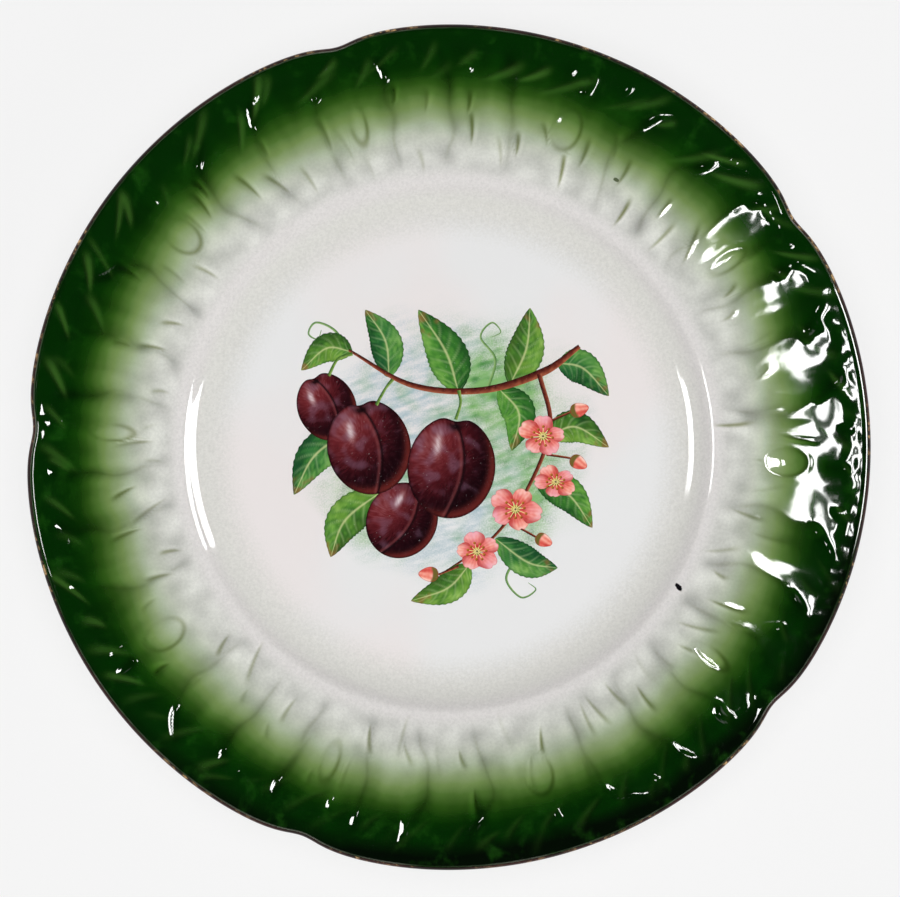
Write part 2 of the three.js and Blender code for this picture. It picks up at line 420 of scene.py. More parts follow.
def lobes(angle, inside):  # fluted lobes, the line between them and how deep it is
    share = inside / rimWidth
    side = np.abs((angle - relief["firstNotch"]) % sector - sector / 2)
    lines = [grooveAngle(line, share) for line in range(5)]
    gap = sum((side >= line).astype(int) for line in lines[1:4])
    low = np.choose(gap, lines[:4])
    high = np.choose(gap, lines[1:])
    across = np.clip((side - low) / (high - low), 0, 1)

    single = lobe(2 * across - 1, inside)
    joined = lobe(across, inside)  # the lobe under the boss, not yet split
    split = np.where(gap == 0, ease(inside, *relief["split"]), 1)
    pillow = np.where(gap == 3, lobe(1 - across, inside), joined * (1 - split) + single * split)

    toLow, toHigh = side - low, side - high
    toLow = np.where((gap == 0) & (split < 0.5), -sector, toLow)
    toHigh = np.where(gap == 3, sector, toHigh)
    degrees = np.where(np.abs(toLow) < np.abs(toHigh), toLow, toHigh)
    offLine = np.radians(degrees) * (inside + shoulder)
    # painted shade along the lines between the lobes; the height does not change with it
    valleyShade = np.exp(-(offLine / relief["valleyHalfWidth"]) ** 2) * band(inside, "valleys")
    gouge = np.exp(-(offLine / relief["gougeHalfWidth"]) ** 2) * band(inside, "gouges")
    return pillow, valleyShade, gouge, (offLine, band(inside, "lobeLines"))


def marks(x, y, look):  # hand-cut marks: how deep, the painted light and shade on their sides, and each one's line
    random = np.random.default_rng(look["seed"])
    stray, lit, darkerSide = (relief[part] for part in ("markStray", "litSide", "shadedSide"))
    total, sides, lines = np.zeros(len(x)), np.zeros(len(x)), []
    for number in range(look["count"]):
        bearing = (number + random.uniform(-stray, stray)) * 360 / look["count"]
        sizes = (random.uniform(*look[part]) * mm for part in ("distance", "length", "width"))
        distance, length, width = sizes
        lean, strength = random.uniform(*look["lean"]), random.uniform(*look["strength"])
        centreX, centreY = turned(distance, 0, bearing)
        along, across = turned(x - centreX, y - centreY, -bearing - lean)
        along = along / length
        across = across / width - relief["markBow"] * along ** 2
        across = across / (1 + relief["markSwell"] * np.clip(along, -1, 1))
        strength = strength * np.exp(-along ** 4)
        total += strength * np.exp(-across ** 2)
        sides += strength * (np.exp(-(across + lit) ** 2) - np.exp(-(across - darkerSide) ** 2))
        lines.append((across * width, strength))
    return total, sides, lines


def nearestLine(lines):  # of all the lines, the one that shows most: distance from it, and its depth
    best, second, off = (np.zeros(len(lines[0][0])) for part in range(3))
    for offLine, depth in lines:
        shown = depth * np.exp(-(offLine / relief["lineReach"]) ** 2)
        nearer = shown > best
        second = np.where(nearer, best, np.maximum(second, shown))
        best = np.where(nearer, shown, best)
        off = np.where(nearer, offLine, off)
    return off, best - second


def towardBossRing(x, y):  # draws points to the bosses' ring, so that grain there runs out radially
    radius = np.maximum(np.hypot(x, y), mm)
    drawn = relief["bossDistance"] + (radius - relief["bossDistance"]) / relief["fluteStretch"]
    return x * drawn / radius, y * drawn / radius


def softFlutes(x, y, inside):  # unevenness that runs out radially
    ringX, ringY = towardBossRing(x, y)
    width, seeds = relief["fluteWidth"], relief["seeds"]
    fine = grain(ringX, ringY, width / 2, seeds["fineFlutes"])
    return (grain(ringX, ringY, width, seeds["flutes"]) + 0.4 * fine) * band(inside, "flutes")


def embossing(x, y):  # height on the rim, what the glaze does there, and the painted light and shade of the relief
    radius = np.hypot(x, y)
    inside = radius - shoulder
    angle = np.degrees(np.arctan2(y, x))
    seeds = relief["seeds"]
    strayed = angle + relief["wander"] * grain(x, y, relief["wanderSize"], seeds["wander"])
    pillow, valleyShade, gouge, (lobeLine, lobeDepth) = lobes(strayed, inside)
    gouge = gouge * np.clip(0.5 + 0.9 * grain(x, y, relief["gougeSize"], seeds["gouges"]), 0.08, 1)
    # painted soft light and shade in patches near the shoulder; the height does not change with it
    hollowShade = grain(x, y, relief["hollowShadeSize"], seeds["hollowShade"]) * band(inside, "hollowShade")
    waves = grain(x, y, relief["lipWaveSize"], seeds["waves"]) * band(inside, "waves")
    waves = waves * (1 + relief["notchWave"] * notchBell(angle))
    flutes = softFlutes(x, y, inside)
    cuts, sides, lines = marks(x, y, relief["cuts"])
    crests, crestSides = marks(x, y, relief["crests"])[:2]
    nicks = marks(x, y, relief["nicks"])[0]

    offset = (angle - relief["firstNotch"]) % sector - sector / 2
    fromNotch = np.sign(offset) * (np.abs(offset) - sector / 2)
    along = radius - relief["bossDistance"]
    outX, outY = np.cos(np.radians(angle)), np.sin(np.radians(angle))
    darkSideX, darkSideY = turned(1, 0, relief["bossDarkSideBearing"])
    plain, darkerSide = relief["bossLine"]
    rises, domes, moats = (np.zeros(len(x)) for part in range(3))
    edges = []
    for degrees, size in ((offset, relief["boss"]), (fromNotch, relief["slimBoss"])):
        across = np.radians(degrees) * radius
        rise, moat, dome, edge = ovalDome(along, across, size)
        rises += rise
        moats += moat
        domes = np.maximum(domes, dome)
        acrossX, acrossY = along * outX - across * outY, along * outY + across * outX
        facing = (acrossX * darkSideX + acrossY * darkSideY) / np.maximum(np.hypot(along, across), mm)
        edges.append((edge, np.clip(plain + darkerSide * facing, 0.05, 1)))
    calm = 1 - np.clip(domes + moats, 0, 1)  # bosses stand clear of the marks

    height = relief["lobeHeight"] * pillow + relief["crests"]["depth"] * crests
    height += calm * (relief["fluteHeight"] * flutes - relief["cuts"]["depth"] * cuts)
    height += rises - relief["bossMoat"] * moats + relief["lipWave"] * waves
    height -= relief["nicks"]["depth"] * nicks + relief["gougeDepth"] * gouge

    offLine, depth = nearestLine([(lobeLine, 0.22 * lobeDepth * calm), *edges,
                                  *((off, strength * calm) for off, strength in lines)])
    run = 0.11 * (pillow - 0.4) * band(inside, "spray") + 0.1 * domes
    # painted shading: flute and boss tops painted lighter, painted shade in the soft hollows, valleys and
    # gouges, and a painted shadow beside each crest
    paintedShading = 0.3 * domes + hollowShade - 0.9 * valleyShade - 0.4 * gouge + 0.7 * np.minimum(crestSides, 0)
    return height, {
        # the marks' sides get painted light on one side and painted shade on the other, in both values
        "glazeRunAndShade": run + calm * (0.06 * flutes + 0.08 * sides),
        "paintedShading": paintedShading + calm * (0.35 * flutes + 0.65 * sides),
        "crest": np.minimum(crests, 1),
        "lineOff": offLine,
        "lineDepth": depth,
    }


def embossFace(piece):
    points = readPoints(piece)
    radius = np.hypot(points[:, 0], points[:, 1])
    faceR, faceZ = np.array(facePath()).T
    onFace = points[:, 2] > np.interp(radius, faceR, faceZ) - 0.5 * mm
    onRim = onFace & (radius > shoulder) & (radius < lipCentre + 0.5 * mm)
    height, glaze = embossing(points[:, 0], points[:, 1])
    points[:, 2] += np.where(onRim, height, 0)
    for name, values in glaze.items():
        writeValues(piece, name, np.where(onRim, values, 0))
    writeValues(piece, "onFace", (onFace & (radius < plateForm["edgeRadius"])).astype(float))
    writePoints(piece, followNotches(points))


def makePlate():
    path = facePath() + backPath()
    piece = spinProfile("glazedPlate", path[::-1], plateForm["spinSteps"])
    embossFace(piece)
    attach(piece, "root")
    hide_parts("plate_body")
    print("plate body:", len(piece.data.polygons), "faces")
    return piece


# The glaze

glazeLook = {
    "wellWarm": linear(232, 226, 225),
    "wellCool": linear(230, 230, 230),
    # from the well outwards: overspray, darkened in part as painted shade on the cavetto, the bare
    # shoulder, lighter in part as a painted highlight ring, then the green spray, by radius in millimetres
    "spray": [
        (62, (213, 212, 207)), (68, (216, 215, 210)),
        (71, (219, 216, 214)), (73.5, (218, 215, 213)),
        (76.5, (208, 208, 203)), (81.2, (200, 202, 194)),
        (84.2, (188, 193, 179)), (86.9, (165, 176, 152)),
        (89.6, (139, 157, 115)), (92.3, (111, 136, 78)),
        (95, (76, 108, 46)), (97.7, (43, 79, 20)),
        (100.4, (17, 55, 6)), (103.1, (6, 43, 2)),
        (107, (3, 38, 2)), (112, (3, 38, 2)),
        (118, (2, 10, 2)),
    ],
    "runReach": 7.0 * mm,  # how far a crest or groove, or the painted light and shade on a mark's sides, shifts the spray
    "cloudReach": 6.5 * mm,
    "cloudScale": 36,  # scales are those of the noise: features per metre
    "leanBearing": 295,  # the green reaches further in on this side of the edge, so the rim is darker there
    "leanReach": 8.0 * mm,
    "rings": {  # radii in millimetres between which a look comes in or goes out
        "overspray": (55, 66.5), "dotsIn": (58, 66),
        "dotsOut": (76, 90), "gritIn": (56, 64),
        "gritOut": (80, 92), "rim": (74, 82),
        "mottle": (92, 109), "paintedShading": (91, 102),
        "lean": (100, 109), "backGreen": (110, 119),
    },
    "sprayDots": (1500, 1.2 * mm),  # scale, and how far they fray the edge of the overspray
    "darkDots": (2100, 0.16, linear(150, 158, 138)),  # scale, share and colour
    "grit": (1300, 0.055),
    "mottle": (140, 0.22, linear(36, 94, 22)),
    "mottleGain": 1.6,  # towards the lip
    "pooled": linear(158, 164, 114),  # tint of the glaze that fills a line
    "lineHalfWidth": 1.05 * mm,
    "crestGreen": linear(74, 122, 46),  # thin colour on the crests near the lip
    "crestShare": (0.46, 0.12),  # on the rim's lighter side and on its darker side
    "darkerRimReach": 6 * mm,
    "shadingOnWhite": 0.22,  # share by which the relief's painted light and shade lightens or darkens the glaze
    "shadingOnGreen": 0.75,
    "specks": {  # flaws in the glaze: place, turn, half length and half width
        "darkSpeck": ((62.9 * mm, -38.1 * mm, 0), -52, 1.35 * mm, 0.7 * mm, linear(18, 16, 20)),
        "faintSpeck": ((45.8 * mm, 72.6 * mm, 0), -25, 0.9 * mm, 0.55 * mm, linear(82, 92, 66)),
    },
    "backWhite": linear(229, 224, 216),
    "backShade": linear(222, 219, 210),
    "backGreen": linear(34, 66, 22),
    "bareClay": linear(214, 194, 166),
    "clayShade": linear(196, 172, 142),
    "clayRoughness": 0.7,
    "bareHeight": (0.25 * mm, 0.55 * mm),  # the glaze begins above the foot's flat
    "stiltMark": linear(150, 128, 104),
    "stiltSize": (1.6 * mm, 1.3 * mm),
    "stiltRadius": 48 * mm,
    "stiltBearings": [30, 150, 270],
    "ripple": (160, 0.02),  # scale and strength
}

glazeGloss = {"Roughness": 0.06, "IOR": 1.62}


def overRing(tree, value, ring, toLow=0.0, toHigh=1.0):
    low, high = glazeLook["rings"][ring]
    return mapRange(tree, value, low * mm, high * mm, toLow, toHigh)


def radiusOf(tree, where):
    flat = put(tree, "VectorMath", {0: where, 1: (1, 1, 0)}, operation="MULTIPLY").outputs[0]
    return flat, put(tree, "VectorMath", {0: flat}, operation="LENGTH").outputs["Value"]


def wellColor(tree, where):  # white that turns a little rosy in places
    tint = mapRange(tree, noise(tree, where, 14, 2), 0.42, 0.58)
    return mixColor(tree, tint, glazeLook["wellWarm"], glazeLook["wellCool"])


def spot(tree, flat, place, turn, length, width):  # 1 on a small ragged spot
    sockets = {"Vector": flat, "Location": place, "Rotation": (0, 0, math.radians(turn))}
    sockets["Scale"] = (length, width, 1)
    own = put(tree, "Mapping", sockets, vector_type="TEXTURE").outputs[0]
    reach = put(tree, "VectorMath", {0: own}, operation="LENGTH").outputs["Value"]
    ragged = calc(tree, "MULTIPLY_ADD", noise(tree, flat, 900, 2), 0.8, reach)
    return mapRange(tree, ragged, 1.15, 1.5, 1, 0)


def darkerRimSide(tree, where):  # how much further in the green reaches on the rim's darker side
    turn = math.radians(glazeLook["leanBearing"])
    reach = glazeLook["leanReach"] / plateForm["edgeRadius"]
    side = put(tree, "VectorMath", {0: where, 1: (math.cos(turn) * reach, math.sin(turn) * reach, 0)},
               operation="DOT_PRODUCT").outputs["Value"]
    return calc(tree, "MAXIMUM", side, 0.0)


def sprayColor(tree, where, radius):
    cloud = calc(tree, "SUBTRACT", noise(tree, where, glazeLook["cloudScale"], 4, 0.6), 0.5)
    cloud = calc(tree, "MULTIPLY", cloud, overRing(tree, radius, "rim"))
    stray = calc(tree, "MULTIPLY_ADD", cloud, glazeLook["cloudReach"], radius)
    # glaze thinner on raised lobes and bosses, plus painted light and shade from the marks' sides
    drawn = calc(tree, "MULTIPLY_ADD", pointValue(tree, "glazeRunAndShade"), -glazeLook["runReach"], stray)
    lean = calc(tree, "MULTIPLY", darkerRimSide(tree, where), overRing(tree, radius, "lean"))
    drawn = calc(tree, "ADD", drawn, lean)
    low, high = glazeLook["spray"][0][0], glazeLook["spray"][-1][0]
    along = put(tree, "MapRange", {"Value": drawn, "From Min": low * mm, "From Max": high * mm}).outputs[0]
    stops = [((place - low) / (high - low), linear(*color)) for place, color in glazeLook["spray"]]
    return ramp(tree, along, stops)


def faceColor(tree, where, flat, radius):  # white well, then overspray in fine dots, then the green rim
    scale, reach = glazeLook["sprayDots"]
    dots = mapRange(tree, noise(tree, where, scale, 3, 0.6), 0.35, 0.65, -reach, reach)
    toRim = overRing(tree, calc(tree, "ADD", radius, dots), "overspray")
    face = mixColor(tree, toRim, wellColor(tree, where), sprayColor(tree, where, radius))
    scale, share, color = glazeLook["darkDots"]
    zone = overRing(tree, radius, "dotsOut", share, 0.0)
    zone = calc(tree, "MULTIPLY", overRing(tree, radius, "dotsIn"), zone)
    fine = mapRange(tree, noise(tree, where, scale, 2, 0.7), 0.56, 0.72)
    face = mixColor(tree, calc(tree, "MULTIPLY", fine, zone), face, color)
    scale, share = glazeLook["grit"]
    grit = mapRange(tree, noise(tree, where, scale, 3, 0.6), 0.3, 0.7, 1 + share, 1 - share)
    zone = overRing(tree, radius, "gritOut", 1.0, 0.3)
    zone = calc(tree, "MULTIPLY", overRing(tree, radius, "gritIn"), zone)
    face = mixColor(tree, zone, face, grit, "MULTIPLY")
    scale, share, color = glazeLook["mottle"]
    mottle = mapRange(tree, noise(tree, where, scale, 3, 0.6), 0.52, 0.78, 0.0, share)
    zone = overRing(tree, radius, "mottle", 0.0, glazeLook["mottleGain"])
    face = mixColor(tree, calc(tree, "MULTIPLY", mottle, zone), face, color)

    # the relief: painted light and painted shade on its sides, thin crests, glaze gathered in the lines
    share = overRing(tree, radius, "paintedShading", glazeLook["shadingOnWhite"], glazeLook["shadingOnGreen"])
    paintedShading = calc(tree, "MULTIPLY_ADD", pointValue(tree, "paintedShading"), share, 1.0)
    face = mixColor(tree, 1.0, face, calc(tree, "MAXIMUM", paintedShading, 0.4), "MULTIPLY")
    share = mapRange(tree, darkerRimSide(tree, where), 0.0, glazeLook["darkerRimReach"], *glazeLook["crestShare"])
    crest = calc(tree, "MULTIPLY", pointValue(tree, "crest"), share)
    face = mixColor(tree, crest, face, glazeLook["crestGreen"])
    offLine = calc(tree, "ABSOLUTE", pointValue(tree, "lineOff"))
    line = mapRange(tree, offLine, 0.0, glazeLook["lineHalfWidth"], 1.0, 0.0)
    line = calc(tree, "MULTIPLY", line, pointValue(tree, "lineDepth"))
    face = mixColor(tree, line, face, glazeLook["pooled"], "MULTIPLY")
    for *form, color in glazeLook["specks"].values():
        face = mixColor(tree, spot(tree, flat, *form), face, color)
    return face


def backColor(tree, where, flat, radius, glazed):  # plain white, a breath of green, stilt marks, bare clay
    cloud = noise(tree, where, 60, 4, 0.6)
    back = mixColor(tree, mapRange(tree, cloud, 0.35, 0.65), glazeLook["backWhite"], glazeLook["backShade"])
    stray = calc(tree, "MULTIPLY_ADD", cloud, 8 * mm, radius)
    back = mixColor(tree, overRing(tree, stray, "backGreen"), back, glazeLook["backGreen"])
    for bearing in glazeLook["stiltBearings"]:
        place = (*turned(glazeLook["stiltRadius"], 0, bearing), 0)
        mark = spot(tree, flat, place, bearing, *glazeLook["stiltSize"])
        back = mixColor(tree, mark, back, glazeLook["stiltMark"])
    clay = mixColor(tree, cloud, glazeLook["bareClay"], glazeLook["clayShade"])
    return mixColor(tree, glazed, clay, back)


def glazeMaterial():
    made, tree, shader = newMaterial("sprayed green glaze", **glazeGloss)
    where = put(tree, "TexCoord").outputs["Object"]
    flat, radius = radiusOf(tree, where)
    height = put(tree, "SeparateXYZ", {0: where}).outputs["Z"]
    glazed = mapRange(tree, height, *glazeLook["bareHeight"])
    face = faceColor(tree, where, flat, radius)
    back = backColor(tree, where, flat, radius, glazed)
    tree.links.new(mixColor(tree, pointValue(tree, "onFace"), back, face), shader.inputs["Base Color"])
    bare = glazeLook["clayRoughness"]
    dull = calc(tree, "MULTIPLY_ADD", glazed, glazeGloss["Roughness"] - bare, bare)
    tree.links.new(dull, shader.inputs["Roughness"])
    scale, strength = glazeLook["ripple"]
    ripple = noise(tree, where, scale, 2, 0.5)
    wavy = put(tree, "Bump", {"Height": ripple, "Strength": strength, "Distance": 1 * mm})
    tree.links.new(wavy.outputs[0], shader.inputs["Normal"])
    return made


# The gilt line on the lip

giltForm = {
    "above": 0.05 * mm,
    "thickness": 0.2 * mm,
    "fromAngle": 52,
    "toAngle": -14,
    "rings": 8,
    "stainScale": 60,
    "wearScale": 420,
    "patchScale": 38,
    "brown": linear(48, 18, 16),
    "dark": linear(24, 12, 9),
    "gold": linear(205, 168, 118),
}

giltGloss = {"Roughness": 0.28, "Specular_IOR_Level": 0.15}


def giltMaterial():
    made, tree, shader = newMaterial("worn gilt line", **giltGloss)
    where = put(tree, "TexCoord").outputs["Object"]
    stain = mapRange(tree, noise(tree, where, giltForm["stainScale"], 4, 0.6), 0.4, 0.6)
    brown = mixColor(tree, stain, giltForm["brown"], giltForm["dark"])
    left = mapRange(tree, noise(tree, where, giltForm["wearScale"], 5, 0.7), 0.5, 0.64)  # gold not worn off
    patches = mapRange(tree, noise(tree, where, giltForm["patchScale"], 2), 0.44, 0.6)
    patchy = calc(tree, "MULTIPLY", left, patches)
    tree.links.new(mixColor(tree, patchy, brown, giltForm["gold"]), shader.inputs["Base Color"])
    tree.links.new(patchy, shader.inputs["Metallic"])
    return made


def makeGiltLine():
    angles = np.linspace(giltForm["fromAngle"], giltForm["toAngle"], giltForm["rings"] + 1)
    outer = [lipPoint(angle, giltForm["above"] + giltForm["thickness"]) for angle in angles]
    inner = [lipPoint(angle, giltForm["above"]) for angle in angles[::-1]]
    path = outer + inner + outer[:1]
    piece = spinProfile("giltLine", path, plateForm["spinSteps"])
    writePoints(piece, followNotches(readPoints(piece)))
    piece.data.materials.append(giltMaterial())
    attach(piece, "root")
    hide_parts("gilt_edge_line")
    print("gilt line:", len(piece.data.polygons), "faces")
    return piece


# The print in the well: a fruiting branch with blossom over a soft wash, in millimetres

printForm = {
    "lift": 0.02,  # the wash above the well's floor
    "step": 0.002,  # each later motif above the one before it
    "film": 0.018,
    "dotScale": 2600,  # printed dots, and pinholes in the ink
    "pinholeScale": 1900,
    "level": 0,
    "patches": {},  # flat motifs of each piece, until they are joined
}


def shades(amount, *stops):  # screen colours between evenly spaced stops
    places = np.linspace(0, 1, len(stops))
    return np.column_stack([np.interp(amount, places, channel) for channel in np.array(stops).T])


def tinted(colors, *layers):  # lays colours one over another, each by its amount
    for color, amount in layers:
        colors = colors + (np.array(color) - colors) * np.clip(amount, 0, 1)[:, None]
    return colors


def besideLine(points, t, off):  # places to the left of a smooth curve through the points
    points = np.array(points, float)
    padded = np.vstack([2 * points[0] - points[1], points, 2 * points[-1] - points[-2]])
    place = t * (len(points) - 1)
    part = np.minimum(place.astype(int), len(points) - 2)
    f = (place - part)[:, None]
    a, b, c, d = (padded[part + k] for k in range(4))
    square, cube = 2 * a - 5 * b + 4 * c - d, 3 * b - a - 3 * c + d
    where = (2 * b + (c - a) * f + square * f ** 2 + cube * f ** 3) / 2
    heading = (c - a) + 2 * square * f + 3 * cube * f ** 2
    heading /= np.linalg.norm(heading, axis=1, keepdims=True)
    return where[:, 0] - heading[:, 1] * off, where[:, 1] + heading[:, 0] * off


def printPatch(pieceName, shape, ink, columns, rows, disc=True):  # ink gives screen colours and cover
    deselectAll()
    bpy.ops.mesh.primitive_grid_add(x_subdivisions=columns, y_subdivisions=rows, size=2)
    patch = bpy.context.object
    u, v = readPoints(patch)[:, :2].T
    if disc:  # the square of points is pushed into a disc
        u, v = u * np.sqrt(1 - v * v / 2), v * np.sqrt(1 - u * u / 2)
    x, y = shape(u, v)
    colors, cover = ink(u, v, x, y)
    z = plateForm["wellFloor"] + (printForm["lift"] + printForm["level"] * printForm["step"]) * mm
    writePoints(patch, np.column_stack([x * mm, y * mm, np.full(len(x), z)]))
    layer = patch.data.attributes.new("ink", "FLOAT_COLOR", "POINT")
    rgba = np.column_stack([screenToLinear(np.clip(colors, 0, 255)), np.broadcast_to(cover, len(u))])
    layer.data.foreach_set("color", rgba.astype(np.float32).ravel())
    printForm["patches"].setdefault(pieceName, []).append(patch)


def nextLevel():
    printForm["level"] += 1


def ribbon(pieceName, points, widths, colors, columns=40, rows=4):  # a drawn line, lit from its left
    def shape(u, v):
        t = (u + 1) / 2
        return besideLine(points, t, np.interp(t, np.linspace(0, 1, len(widths)), widths) / 2 * v)

    def ink(u, v, x, y):
        return shades((v + 1) / 2 + 0.25 * grain(x, y, 0.9, 21), *colors), 1

    printPatch(pieceName, shape, ink, columns, rows, disc=False)


washLook = {
    "radius": 44,
    "mist": (160, 184, 192),
    "leafShade": (128, 178, 108),
    "deepShade": (66, 128, 66),
    "shadeAt": [(17, 17, 17), (-24, -15, 13), (26, -17, 13)],  # x, y and reach of the green haze
}


def makeWash():
    def shape(a, b):
        return a * washLook["radius"], b * washLook["radius"]

    def ink(a, b, x, y):
        inside = 1 - ease(np.hypot(x, y) + 5 * grain(x, y, 11, 31), 24, 42)
        brushX, brushY = turned(x, y, -18)
        streak = 0.8 * grain(brushX / 7, brushY, 1.6, 32) + 0.5 * grain(brushX / 4, brushY, 0.8, 33)
        haze = 0.3 * grain(x, y, 5, 34)
        for hazeX, hazeY, size in washLook["shadeAt"]:
            haze = haze + np.exp(-((x - hazeX) ** 2 + (y - hazeY) ** 2) / size ** 2)
        haze = np.clip(haze, 0, 1)
        deep = 0.9 * haze * ease(grain(x, y, 3, 35), -0.1, 0.7)
        cover = inside * np.clip(0.5 + 0.55 * streak * (1 - 0.6 * haze) + 0.45 * haze, 0, 1)
        mist = np.full((len(x), 3), washLook["mist"], float)
        return tinted(mist, (washLook["leafShade"], 1.3 * haze), (washLook["deepShade"], deep)), cover

    printPatch("printWash", shape, ink, 170, 170)
    nextLevel()


leafLook = {
    "greens": [(18, 56, 26), (46, 102, 40), (98, 154, 62), (160, 196, 104)],
    "tones": [(60, 128, 44), (40, 104, 66), (112, 142, 44)],
    "vein": (186, 206, 142),
    "rib": (206, 212, 150),
    "outline": (22, 54, 28),
    "rust": (140, 92, 54),
    "veins": 7,
    # base, bend and tip of each midrib, and the half width
    "behind": [
        ((30, 23), (37, 21.5), (44, 14), 4.6),
        ((17, 17), (21.5, 27), (22.5, 38), 5),
        ((3, 15), (-0.5, 26), (-8, 37.5), 5.6),
        ((-16, 19), (-17, 29), (-22.5, 37.5), 4.4),
        ((-26, 26), (-33, 27), (-40, 21), 4),
        ((14, 16), (19.5, 9), (17.5, -1), 4.6),
        ((-24, 6), (-36, -2), (-42, -13), 5),
        ((-18, -12), (-28, -20), (-32, -30), 5.2),
    ],
    "front": [
        ((27.5, 3), (35, 5.5), (44, 0), 4.4),
        ((24, -9), (33, -13), (39.5, -22), 4.6),
        ((13, -25), (22, -31.5), (30, -33), 4.2),
        ((6, -32), (0, -38.5), (-10, -42), 4.2),
    ],
}


def makeLeaf(base, bend, tip, width, seed):
    def shape(u, v):
        t = (u + 1) / 2
        toothed = 1 + 0.03 * np.sin(2 * np.pi * 15 * t) * (np.abs(v) > 0.9)
        half = 0.05 + width * np.sin(np.pi * t ** 0.8) ** 0.85 * toothed
        return besideLine([base, bend, tip], t, half * v)

    def ink(u, v, x, y):
        t = (u + 1) / 2
        phase = (leafLook["veins"] * t - 1.3 * np.abs(v)) % 1
        vein = np.exp(-((phase - 0.5) / 0.13) ** 2) * (1 - np.abs(v) ** 3)
        brushed = grain(9 * t - 1.7 * np.abs(v), 2.5 * v, 0.45, seed + 1)  # strokes along the veins
        light = 0.4 + 0.36 * v * (1 if seed % 4 else -1) + 0.1 * np.cos(2 * np.pi * phase)
        light += 0.25 * grain(x, y, 3.5, seed) + 0.2 * brushed
        tones = leafLook["tones"]
        return tinted(
            shades(light, *leafLook["greens"]),
            (tones[seed // 2 % len(tones)], 0.3 + 0.25 * grain(x, y, 5, seed + 1)),
            (leafLook["rust"], 0.75 * ease(t + 0.25 * grain(x, y, 2, seed), 0.8, 1.05)),
            (leafLook["vein"], 0.45 * vein),
            (leafLook["rib"], 0.8 * np.exp(-(v * width / 0.26) ** 2)),
            (leafLook["outline"], 0.5 * ease(np.abs(v), 0.86, 1)),
        ), 1

    printPatch("printLeaves", shape, ink, 60, 22, disc=False)
    nextLevel()


plumLook = {
    "skin": [(15, 4, 8), (36, 8, 14), (68, 17, 23), (106, 36, 40), (158, 98, 102)],
    "bloom": (128, 104, 128),
    "glow": (118, 42, 36),
    "seam": (14, 4, 8),
    "seamLight": (140, 74, 74),
    "shine": (232, 220, 222),
    "light": (-0.52, 0.5, 0.69),
    # place, half width and half height, turn
    "fruit": [
        ((-33, 11), (8, 9.5), 24),
        ((-12.5, -20), (9.6, 10.6), -30),
        ((-21.5, 0), (11.4, 13), 12),
        ((1, -5.5), (12, 14), -6),
    ],
}


def makePlum(place, size, turn, seed):
    def shape(a, b):
        dent = 1 - 0.1 * np.exp(-(a / 0.22) ** 2) * ease(b, 0.5, 1)  # where the stalk goes in
        x, y = turned(a * size[0], b * size[1] * dent, turn)
        return x + place[0], y + place[1]

    def ink(a, b, x, y):
        right, up = turned(a, b, turn)
        reach = np.minimum(np.hypot(a, b), 1)
        lit = sum(part * way for part, way in zip((right, up, np.sqrt(1 - reach ** 2)), plumLook["light"]))
        strokes = grain(np.arctan2(up, right) * 9, reach * 3, 0.5, seed)
        dusty = ease(grain(x, y, 3.2, seed + 1) + 0.6 * lit, 0.25, 1.1)
        offSeam = a - 0.34 * np.cos(b * 1.5)
        shine = np.exp(-((a + 0.36) / 0.09) ** 2 - ((b - 0.42) / 0.2) ** 2)
        pit = np.exp(-(a / 0.16) ** 2 - ((b - 0.86) / 0.1) ** 2)
        return tinted(
            shades(0.12 + 0.72 * np.clip(lit, 0, 1) ** 1.3 + 0.09 * strokes, *plumLook["skin"]),
            (plumLook["bloom"], 0.4 * dusty + 0.1 * strokes),
            (plumLook["glow"], 0.75 * ease(reach, 0.72, 0.95) * ease(-lit, -0.35, 0.25)),
            (plumLook["seam"], 0.75 * np.exp(-((offSeam + 0.05) / 0.035) ** 2)),
            (plumLook["seamLight"], 0.5 * np.exp(-((offSeam + 0.12) / 0.04) ** 2)),
            (plumLook["shine"], 0.8 * shine * (1 + 0.4 * strokes)),
            (plumLook["seam"], 0.9 * pit + 0.5 * ease(reach, 0.94, 1)),
        ), 1

    printPatch("printFruit", shape, ink, 76, 76)
    nextLevel()


stemLook = {
    "bark": [(52, 20, 18), (104, 42, 32), (168, 96, 66)],
    "green": [(46, 82, 34), (92, 130, 56), (150, 176, 92)],
    "grass": [(70, 112, 62), (112, 152, 86), (150, 180, 118)],
    # points along each, then its widths
    "wood": [
        ([(36, 27.5), (26, 20.5), (9, 15.5), (-10, 17), (-27, 26.5)], (1.2, 2.2, 1.8, 1.5, 0.7)),
        ([(25, 20), (28, 6), (23, -9), (13, -24), (-2, -35)], (1.3, 1.2, 1.0, 0.8, 0.5)),
    ],
    "fruitStalks": [
        [(-26, 25.5), (-30, 24), (-32.5, 19.5)],
        [(-15, 18.5), (-17, 16), (-19.5, 11.5)],
        [(3, 15.5), (3.5, 12), (2.2, 7.5)],
    ],
    "tendrils": [
        [(-27, 26.5), (-31, 32), (-36, 34), (-38, 31), (-35.5, 29.5), (-34.5, 32)],
        [(11, 16), (13, 24), (9, 30), (12, 34), (14.5, 31.5), (12, 30)],
        [(19, -30), (16, -36), (20, -41), (24, -39), (22, -37)],
    ],
}


